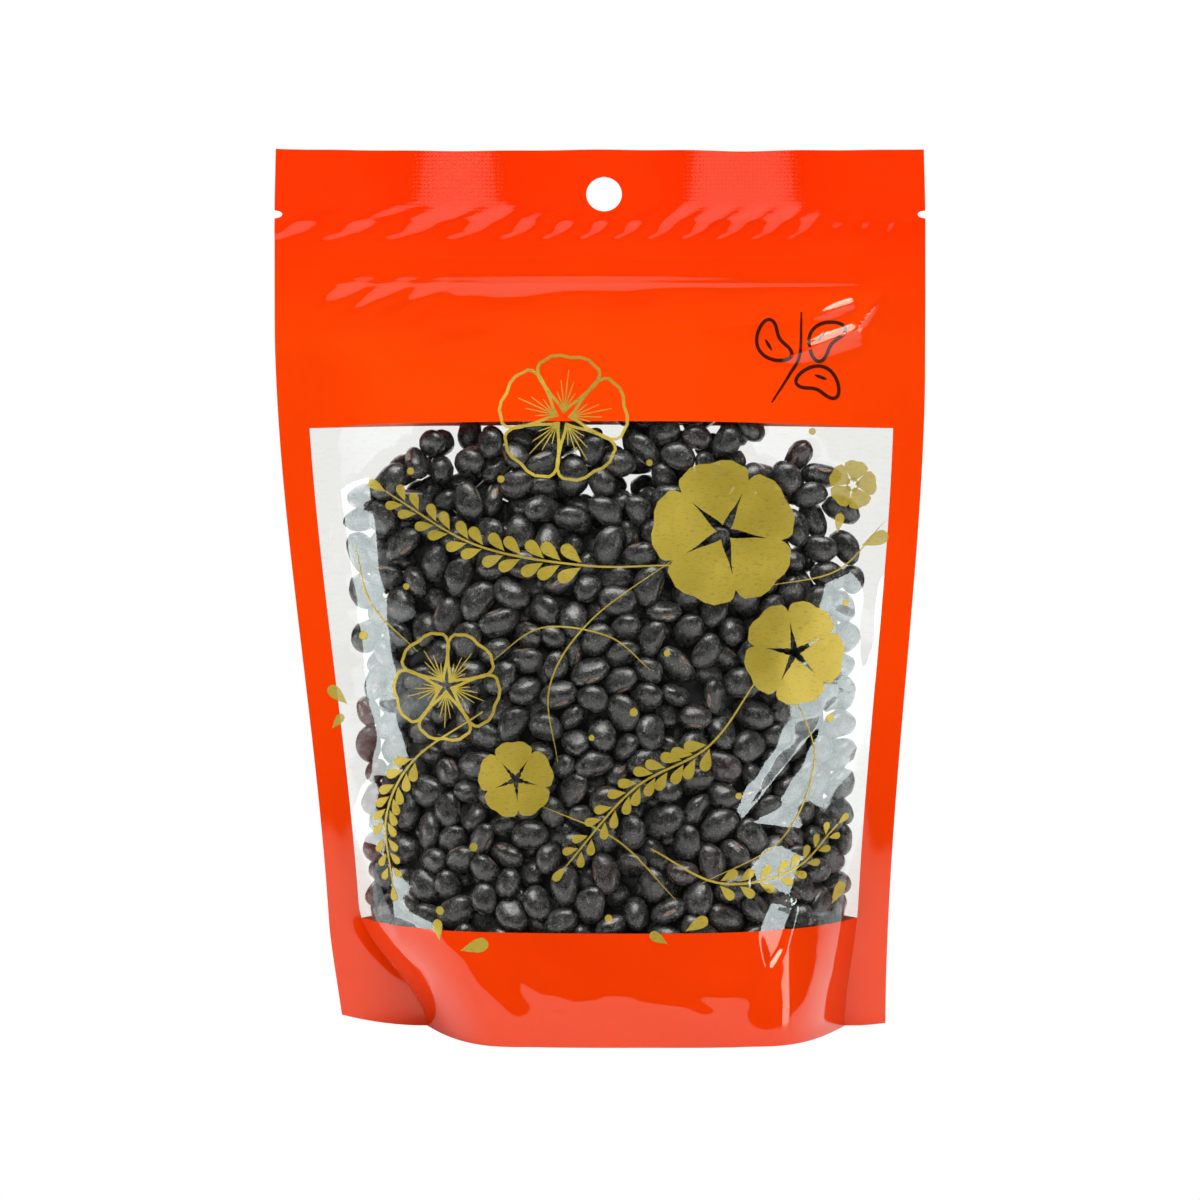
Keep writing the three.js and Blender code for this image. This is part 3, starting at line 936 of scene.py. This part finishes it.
def tuck_in(position, turns, half_sizes):
    """Moves beans inwards where a crease of the film would cut into them, and says which fit in the bag."""
    ways = np.stack(np.meshgrid(*[np.linspace(-1, 1, 6)] * 3), axis=-1).reshape(-1, 3)
    ways = ways[np.abs(ways).max(axis=1) == 1]
    ways = ways / np.linalg.norm(ways, axis=1, keepdims=True)

    def past_film(sign, face):
        skin = position[:, None] + np.einsum("nij,nkj->nki", turns, ways * half_sizes[:, None] * FIT_MARGIN)
        return (sign * skin[..., 1] - film_offset(face, skin[..., 0], skin[..., 2])).max(axis=1)

    for sign, face in ((-1, "front"), (1, "back")):
        position[:, 1] -= sign * np.maximum(0, past_film(sign, face) + TUCKED_ROOM)
    return position, (past_film(-1, "front") < 0) & (past_film(1, "back") < 0)


def pack_beans():
    """Place, turn, size, kind and tone of every bean that can be seen."""
    rng = np.random.default_rng(7)
    names = list(BEAN_KINDS)
    trial = rng.uniform(*HEAP_BOX, size=(TRIAL_POINTS, 3))
    held = trial[inside_heap(trial)]
    space = len(held) / len(trial) * np.prod(HEAP_BOX[1] - HEAP_BOX[0])
    kinds = rng.choice(len(names), size=MOST_BEANS, p=[BEAN_KINDS[n]["share"] for n in names])
    swell = rng.normal(1, SWELL_SPREAD, size=(MOST_BEANS, 1)).clip(SWELL_LEAST, SWELL_MOST)
    half_sizes = np.array([BEAN_KINDS[n]["size"] for n in names])[kinds] / 2 * swell
    volume = np.cumsum(np.prod(half_sizes, axis=1) * 4 / 3 * math.pi)
    count = int(np.searchsorted(volume, space * SPACE_RATIO * PACKED_SHARE))
    kinds, swell, half_sizes, position = kinds[:count], swell[:count], half_sizes[:count], held[:count]
    turns = random_turns(rng, count)
    position = settle(position, lay_flat(turns, position, rng), half_sizes, rounds=40)
    turns = lay_flat(turns, position, rng)
    position, fits = tuck_in(settle(position, turns, half_sizes, rounds=90), turns, half_sizes)
    x, y, z = position.T
    offset, _, length = film_distance(x, z, np.ones_like(x))
    seen = fits & ((offset - np.abs(y)) / length < SEEN_DEPTH) & (z > LOWEST_BEAN)
    seen &= rng.uniform(size=count) > TOP_GAPS * ease(z, *TOP_GAPS_HEIGHTS)
    middle, half = belly(z)
    # Beans far out on the left, between two heights, get painted red light: a dark red tone standing in for
    # light through the orange film.
    red_lit = (x < middle - RED_LIGHT_EDGE * half) & (z > RED_LIGHT_LOW) & (z < RED_LIGHT_HIGH)
    tone = np.where(red_lit, RED_LIGHT_TONE, rng.uniform(size=count))
    return position[seen], turns[seen], kinds[seen], swell[seen, 0], tone[seen]


def bean_shape(name):
    """One bean at the origin, long along X and thin along Z, with its scar on the -Y side."""
    kind = BEAN_KINDS[name]
    length, width, thick = kind["size"]
    points, faces = [], []
    for i in range(BEAN_ALONG + 1):
        polar = math.pi * i / BEAN_ALONG
        for j in range(BEAN_AROUND):
            turn = TURN * j / BEAN_AROUND
            wide = math.sin(polar)
            points.append((math.cos(polar), wide * math.cos(turn), wide * math.sin(turn)))
    for i in range(BEAN_ALONG):
        for j in range(BEAN_AROUND):
            a, b = i * BEAN_AROUND + j, i * BEAN_AROUND + (j + 1) % BEAN_AROUND
            faces.append((a, a + BEAN_AROUND, b + BEAN_AROUND, b))
    unit = np.round(points, 9)  # so that the points of a pole stay together and weld into one
    p = unit * np.array([length, width, thick]) / 2
    p[:, 1] += kind["bend"] * (0.5 - unit[:, 0] ** 2)
    scar = np.exp(-(unit[:, 0] / 0.35) ** 2 - (unit[:, 2] / 0.4) ** 2) * (unit[:, 1] < 0)
    p[:, 1] += 0.5 * scar
    dimple = np.exp(-((unit[:, 0] - 0.15) / 0.5) ** 2 - ((unit[:, 1] + 0.1) / 0.45) ** 2)
    p[:, 2] -= np.sign(unit[:, 2]) * kind["dent"] * dimple
    lumps = np.sin(p[:, 0] * 1.1 + p[:, 1]) * np.sin(p[:, 1] * 1.3 + 1) * np.sin(p[:, 2] * 1.2 + 2)
    p *= (1 + 0.05 * lumps)[:, None]
    bean = make_mesh(f"bean_{name}", p, faces, None)
    weld_doubles(bean)
    coord = bean.data.attributes.new("bean_coord", "FLOAT_VECTOR", "POINT")
    own = np.array([v.co for v in bean.data.vertices]) / MM
    coord.data.foreach_set("vector", own.ravel())
    return bean


def scatter_tree():
    """Geometry nodes: sets one bean on each point, turned and sized by the point's own values."""
    tree, given, result = new_group(
        "beans_on_points",
        "GeometryNodeTree",
        [("Geometry", "Geometry"), ("Bean", "Object"), ("Swell", "Float"), ("Finish", "Material")],
        [("Geometry", "Geometry")],
    )
    bean = add(tree, "GeometryNodeObjectInfo", {"Object": given["Bean"]})
    turn = add(tree, "GeometryNodeInputNamedAttribute", {"Name": "turn"}, data_type="FLOAT_VECTOR")
    size = add(tree, "GeometryNodeInputNamedAttribute", {"Name": "swell"}, data_type="FLOAT")
    scale = math_node(tree, "MULTIPLY", size.outputs["Attribute"], given["Swell"])
    inputs = {"Points": given["Geometry"], "Instance": bean.outputs["Geometry"]}
    inputs.update({"Rotation": turn.outputs["Attribute"], "Scale": scale})
    placed = add(tree, "GeometryNodeInstanceOnPoints", inputs)
    real = add(tree, "GeometryNodeRealizeInstances", {"Geometry": placed.outputs[0]})
    done = add(tree, "GeometryNodeSetMaterial", {"Geometry": real.outputs[0], "Material": given["Finish"]})
    tree.links.new(done.outputs[0], result["Geometry"])
    return tree


def run_tree(name, start, tree, values):
    """Puts a geometry tree on an object and returns its result as a plain mesh object."""
    modifier = start.modifiers.new("grow", "NODES")
    modifier.node_group = tree
    for item in tree.interface.items_tree:
        if item.in_out == "INPUT" and item.name in values:
            modifier[item.identifier] = values[item.name]
    evaluated = start.evaluated_get(bpy.context.evaluated_depsgraph_get())
    mesh = bpy.data.meshes.new_from_object(evaluated)
    mesh.name = name
    result = bpy.data.objects.new(name, mesh)
    bpy.context.collection.objects.link(result)
    start.modifiers.remove(modifier)
    return result


def euler_of(turns):
    """XYZ Euler angles of rotation matrices."""
    middle = np.arcsin(np.clip(-turns[:, 2, 0], -1, 1))
    first = np.arctan2(turns[:, 2, 1], turns[:, 2, 2])
    last = np.arctan2(turns[:, 1, 0], turns[:, 0, 0])
    return np.stack([first, middle, last], axis=1)


def build_beans(skin):
    position, turns, kinds, swell, tone = pack_beans()
    angles = euler_of(turns)
    tree = scatter_tree()
    for number, name in enumerate(BEAN_KINDS):
        mine = kinds == number
        seeds = make_mesh(f"places_{name}", position[mine], [], None)
        for label, kind, key, values in (
            ("turn", "FLOAT_VECTOR", "vector", angles[mine]),
            ("swell", "FLOAT", "value", swell[mine]),
            ("bean_tone_and_red_light", "FLOAT", "value", tone[mine]),
        ):
            seeds.data.attributes.new(label, kind, "POINT").data.foreach_set(key, values.ravel())
        bean = bean_shape(name)
        heap = run_tree(f"beans_{name}", seeds, tree, {"Bean": bean, "Swell": 1.0, "Finish": skin})
        heap.data.polygons.foreach_set("use_smooth", [True] * len(heap.data.polygons))
        for helper in (seeds, bean):
            bpy.data.objects.remove(helper)
        finish_piece(heap, "beans")


CORE_INSET, CORE_LOW, CORE_HIGH = 10.5, 14, 122  # how far inside the film it is, and where it starts and ends
CORE_ROWS, CORE_COLUMNS = 60, 60


def build_core(shade):
    """A dark lump inside the heap, so that no light passes through it."""
    across = np.sin(np.linspace(-0.5, 0.5, CORE_COLUMNS) * math.pi)[None, :]
    share = np.linspace(0, 1, CORE_ROWS)[:, None]
    z = CORE_LOW + (CORE_HIGH - CORE_LOW) * share + 0 * across
    middle, half = belly(z)
    deep = np.maximum(bow(0, z), CORE_INSET + 1.01)
    reach = np.maximum(0.05, 1 - (CORE_INSET + 1) / deep) ** (1 / bow_power(z))
    x = middle + half * reach * across
    y = np.maximum(0.3, bow(across * reach, z) - CORE_INSET + 0.8 * waves(x, z, 77, 9))
    front = np.stack([x, -y, z], axis=-1).reshape(-1, 3)
    back = front * (1, -1, 1)
    cells = grid_cells(CORE_ROWS, CORE_COLUMNS)
    count = len(front)
    faces = np.concatenate([cells, (cells + count)[:, ::-1], sew(border_edges(cells), count)])
    core = make_mesh("heap_core", np.concatenate([front, back]), faces, shade)
    finish_piece(core, "beans")


# ---------------------------------------------------------------- the print: flat shapes laid on the film
INK_LIFT = 0.06  # how far the print lies off the film
STEM_WIDTH, STEM_TAPER = 0.4, 0.7  # of the plain stems


def axes_of(heading):
    """Unit vectors along a heading and to its left, as the rows of a matrix."""
    c, s = math.cos(heading), math.sin(heading)
    return np.array([[c, s], [-s, c]])


def disc(outline, rings):
    """A filled shape: rings of points from its middle out to its outline."""
    outline = np.asarray(outline)
    centre = outline.mean(axis=0)
    scale = np.linspace(0, 1, rings + 1)[1:, None, None]
    points = np.concatenate([centre[None], (centre + (outline - centre) * scale).reshape(-1, 2)])
    n = len(outline)
    faces = fan_cells(n)
    for ring in range(rings - 1):
        start = 1 + ring * n
        faces += ring_cells(start, start + n, n)
    return points, faces


def ribbon(path, width, taper=0.0, closed=False):
    """A line of ink along a path. taper thins it towards its ends."""
    path = np.asarray(path, dtype=float)
    ahead = np.gradient(path, axis=0)
    if closed:
        ahead = np.roll(path, -1, axis=0) - np.roll(path, 1, axis=0)
    ahead /= np.linalg.norm(ahead, axis=1, keepdims=True)
    aside = np.stack([-ahead[:, 1], ahead[:, 0]], axis=1)
    share = np.linspace(0, 1, len(path))
    half = width / 2 * (1 - taper * (2 * share - 1) ** 2)
    left, right = path + aside * half[:, None], path - aside * half[:, None]
    n = len(path)
    faces = ring_cells(0, n, n)
    return np.concatenate([left, right]), faces if closed else faces[:-1]


def curve(points, count=40):
    """A smooth line through a few points."""
    points = np.asarray(points, dtype=float)
    padded = np.concatenate([2 * points[:1] - points[1:2], points, 2 * points[-1:] - points[-2:-1]])
    where = np.linspace(0, len(points) - 1, count)
    start = np.minimum(where.astype(int), len(points) - 2)
    t = (where - start)[:, None]
    a, b, c, d = (padded[start + k] for k in range(4))
    return 0.5 * (2 * b + (c - a) * t + (2 * a - 5 * b + 4 * c - d) * t**2 + (3 * b - a - 3 * c + d) * t**3)


def drop_outline(base, heading, length, width, belly_at, frill=0.0, count=28):
    """Outline of a petal or a grain that starts at its base and points along a heading."""
    turn = round_turns(count)
    along = (1 - np.cos(turn)) / 2
    shape = np.sin(turn) * (along / belly_at) ** 0.8
    along = along * (1 + frill * np.cos(9 * turn))
    local = np.stack([along * length, shape * width / 2], axis=1)
    return np.asarray(base) + local @ axes_of(heading)


def blossom(centre, radius, start, solid):
    """A five-petalled blossom: filled, with stamens, or in outline, with veins."""
    centre = np.asarray(centre, dtype=float)
    petals = 5
    patches = []
    for k in range(petals):
        heading = start + TURN * k / petals
        ahead, _ = axes_of(heading)
        base = centre + 0.1 * radius * ahead
        outline = drop_outline(base, heading, 0.9 * radius, 0.95 * radius, belly_at=0.6, frill=0.025)
        if solid:
            patches.append(disc(outline, rings=4))
            continue
        patches.append(ribbon(outline, width=0.75, closed=True))
        for lean in (-0.34, -0.17, 0, 0.17, 0.34):
            tip = centre + radius * (0.78 - abs(lean)) * axes_of(heading + lean)[0]
            vein = curve([centre + 0.15 * radius * ahead, tip], count=8)
            patches.append(ribbon(vein, width=0.3, taper=0.5))
    if solid:
        for k in range(2 * petals):
            tip = centre + 0.24 * radius * axes_of(start + TURN * (k + 0.5) / (2 * petals))[0]
            patches.append(disc(dot_outline(tip, radius=0.45), rings=1))
    return patches


def dot_outline(centre, radius):
    turn = round_turns(12)
    return np.asarray(centre) + radius * np.stack([np.cos(turn), np.sin(turn)], axis=1)


def ear_of_grain(points, grains, length):
    """A bending stem with grains leaning off it on both sides, and one at its tip."""
    bare = 0.35  # share of the stem without grains
    stem = curve(points, count=60)
    patches = [ribbon(stem, width=0.55, taper=0.4)]
    ahead = np.gradient(stem, axis=0)
    for k in range(grains):
        spot = int((bare + (1 - bare) * k / grains) * (len(stem) - 1))
        heading = math.atan2(ahead[spot, 1], ahead[spot, 0])
        for side in (-1, 1):
            size = length * (1 - 0.35 * k / grains)
            base = stem[spot] + 0.5 * side * axes_of(heading)[1]
            outline = drop_outline(base, heading + 0.62 * side, size, 0.42 * size, belly_at=0.5, count=16)
            patches.append(disc(outline, rings=2))
    heading = math.atan2(ahead[-1, 1], ahead[-1, 0])
    outline = drop_outline(stem[-1], heading, 0.8 * length, 0.3 * length, belly_at=0.5, count=16)
    patches.append(disc(outline, rings=2))
    return patches


def lay_on_film(name, patches, ink):
    """Sets flat shapes on the front film, lifted off it by a hair."""
    points, faces = [], []
    for flat, cells in patches:
        start = len(points)
        points.extend(flat)
        faces.extend([tuple(start + i for i in cell) for cell in cells])
    flat = np.array(points)
    x, z = flat.T

    def front(px, pz):
        return film_y("front", px, pz)

    slope_x, slope_z = slopes(front, x, z, step=0.4)
    normal = np.stack([slope_x, -np.ones_like(x), slope_z], axis=1)
    normal /= np.linalg.norm(normal, axis=1, keepdims=True)
    piece = make_mesh(name, np.stack([x, front(x, z), z], axis=1) + INK_LIFT * normal, faces, ink)
    face_forward(piece)
    finish_piece(piece, "pouch")


BLOSSOMS = (  # middle, radius, turn, and whether filled
    ((30, 121), 17.5, 0.5, True),
    ((47, 92), 12.5, 1.1, True),
    ((-9, 149), 15.5, 0.2, False),
    ((-37, 84), 13, 0.9, False),
    ((-20, 62), 9, 0.4, True),
    ((62, 133), 6, 0.1, True),
)
EARS = (  # the stem's points, the number of grains on each side, and the length of a grain
    ([(17, 113), (-4, 113), (-30, 118), (-52, 131)], 11, 6.4),
    ([(38, 86), (26, 70), (8, 60), (-8, 42)], 11, 5.6),
    ([(-28, 78), (-45, 66), (-52, 52), (-50, 36)], 9, 4.8),
    ([(12, 46), (28, 38), (46, 40), (58, 50)], 8, 4.6),
)
STEMS = (
    [(20, 116), (-2, 100), (-12, 84), (-10, 66)],
    [(47, 82), (52, 66), (44, 48), (24, 38)],
    [(-44, 92), (-56, 104), (-60, 118)],
    [(-14, 56), (4, 48), (18, 34)],
    [(-26, 90), (-14, 98), (2, 96), (12, 88)],
    [(40, 108), (58, 112), (70, 124)],
)
DOTS = (  # middle and radius
    ((-58, 96), 1.1), ((-47, 108), 0.8), ((8, 78), 1.0), ((16, 92), 0.8), ((-2, 72), 0.7),
    ((56, 76), 1.0), ((-30, 46), 1.0), ((33, 58), 0.8), ((60, 104), 0.8), ((-24, 134), 0.9),
    ((12, 138), 0.8), ((52, 146), 0.9), ((-46, 136), 0.9), ((2, 30), 0.9), ((-38, 31), 1.0),
)
DROPS = (  # base, heading and length
    ((-62, 79), 2.4, 6.5), ((-66, 73), 0.9, 4.5), ((64, 118), 0.4, 7.5), ((58, 121), 1.4, 5),
    ((-33, 22), 0.3, 7), ((-38, 24), 1.7, 5), ((16, 24), 2.6, 5), ((20, 27), 0.5, 6), ((56, 31), 1.0, 6),
)


def build_gold_print(gold):
    """Blossoms and ears of grain across the window, some of them crossing its edges."""
    patches = []
    for place, radius, start, solid in BLOSSOMS:
        patches += blossom(place, radius, start, solid)
    for points, grains, length in EARS:
        patches += ear_of_grain(points, grains, length)
    patches += [ribbon(curve(line), STEM_WIDTH, STEM_TAPER) for line in STEMS]
    patches += [disc(dot_outline(place, radius), rings=2) for place, radius in DOTS]
    for place, heading, length in DROPS:
        patches.append(disc(drop_outline(place, heading, length, 0.42 * length, belly_at=0.55), rings=3))
    lay_on_film("gold_print", patches, gold)


def build_bean_emblem(ink):
    """A small line drawing of three beans on a sprig, in place of a mark."""
    middle = np.array([49.0, 164.0])
    sprig = curve(middle + np.array([(-7, -11), (-2.5, -4), (0, 1), (0.5, 11.5)]))
    patches = [ribbon(sprig, width=0.8, taper=0.5)]
    size = 11
    for place, heading in (((-6.2, 4.2), 2.1), ((6.6, 4.4), 0.9), ((4.6, -6.2), -0.35)):
        centre = middle + np.array(place)
        turn = round_turns(40)
        waist = 1 - 0.3 * np.exp(-((turn / 1.5708 - 3) ** 2) / 0.12)
        width = 0.62 * waist * np.sin(turn) - 0.16 * np.cos(2 * turn)
        local = size / 2 * np.stack([np.cos(turn), width], axis=1)
        spin = axes_of(heading)
        patches.append(ribbon(centre + local @ spin, width=0.85, closed=True))
        scar = np.stack([np.linspace(-0.14, 0.14, 8) * size, np.full(8, 0.15 * size)], axis=1)
        patches.append(ribbon(centre + scar @ spin, width=0.8, taper=0.6))
    lay_on_film("bean_emblem", patches, ink)


# ---------------------------------------------------------------- table, light and camera
def build_floor(material):
    """A near disc of table that the film mirrors, and the rest of the table round it."""
    near, far, around = 1450, 6000, 96  # the two radii, and the steps round them
    turn = round_turns(around)
    ring = np.stack([np.cos(turn), np.sin(turn), 0 * turn], axis=1)
    disc_points = np.concatenate([[[0, 0, 0]], ring * near])
    table = make_mesh("table", disc_points, fan_cells(around), material, smooth=False)
    wide_points = np.concatenate([ring * near, ring * far])
    wide = make_mesh("table_far", wide_points, ring_cells(0, around, around), material, smooth=False)
    wide.visible_glossy = False


def softbox(name, azimuth, elevation, distance, width, height, radiance, mirrored=True):
    """A rectangular lamp that faces the pouch. Azimuth 0 is in front of it, and 90 to its right."""
    lamp = bpy.data.lights.new(name, "AREA")
    lamp.shape = "RECTANGLE"
    lamp.size, lamp.size_y = width, height
    lamp.energy = radiance * math.pi * width * height
    holder = bpy.data.objects.new(name, lamp)
    a, e = math.radians(azimuth), math.radians(elevation)
    aim = Vector((0, 0, POUCH_HEIGHT / 2 * MM))
    away = Vector((math.sin(a) * math.cos(e), -math.cos(a) * math.cos(e), math.sin(e)))
    holder.location = aim + away * distance
    holder.rotation_euler = away.to_track_quat("Z", "Y").to_euler()
    holder.visible_camera = False
    holder.visible_glossy = mirrored
    bpy.context.collection.objects.link(holder)


def build_lights():
    """Azimuth, elevation, distance, width, height and radiance of every softbox."""
    softbox("left_strip", -83, -5.4, 0.56, 0.26, 0.105, 5.9)
    softbox("right_low", 72.5, 2.2, 1.0, 0.24, 0.30, 6.0)
    softbox("key", 2, 64, 1.1, 0.40, 0.22, 15.0)
    softbox("overhead", 0, 80, 1.2, 1.3, 0.5, 9.0)
    softbox("front_fill", -8, 28, 1.7, 1.2, 0.8, 3.0, mirrored=False)
    softbox("back_left", -150, 35, 1.3, 0.8, 0.8, 3.0)
    softbox("back_right", 150, 35, 1.3, 0.8, 0.8, 3.0)


def build_world():
    """White where the camera sees it, and a dim room for everything else."""
    world = bpy.data.worlds.new("studio")
    world.use_nodes = True
    tree = world.node_tree
    tree.nodes.clear()
    path = add(tree, "ShaderNodeLightPath").outputs
    fill, mirrored, seen = (
        add(tree, "ShaderNodeBackground", {"Color": (1, 1, 1, 1), "Strength": strength}).outputs[0]
        for strength in (0.25, 0.015, 1.05)
    )
    room = add(tree, "ShaderNodeMixShader", {0: path["Is Glossy Ray"], 1: fill, 2: mirrored}).outputs[0]
    both = add(tree, "ShaderNodeMixShader", {0: path["Is Camera Ray"], 1: room, 2: seen}).outputs[0]
    add(tree, "ShaderNodeOutputWorld", {"Surface": both})
    bpy.context.scene.world = world


def build_camera():
    """Level with the middle of the pouch, straight in front."""
    lens = bpy.data.cameras.new("camera")
    lens.lens, lens.sensor_width = 85.3, 36
    camera = bpy.data.objects.new("camera", lens)
    camera.location = (0, -0.7, 0.1047)
    camera.rotation_euler = (math.pi / 2, 0, 0)
    bpy.context.collection.objects.link(camera)
    bpy.context.scene.camera = camera


build_bag(printed_film_material(), clear_film_material())
build_beans(bean_material())
build_core(shade_material())
build_gold_print(gold_ink_material())
build_bean_emblem(dark_ink_material())
build_floor(floor_material())
build_lights()
build_world()
build_camera()
bpy.context.scene.view_settings.view_transform = "Standard"
bpy.context.scene.view_settings.look = "None"
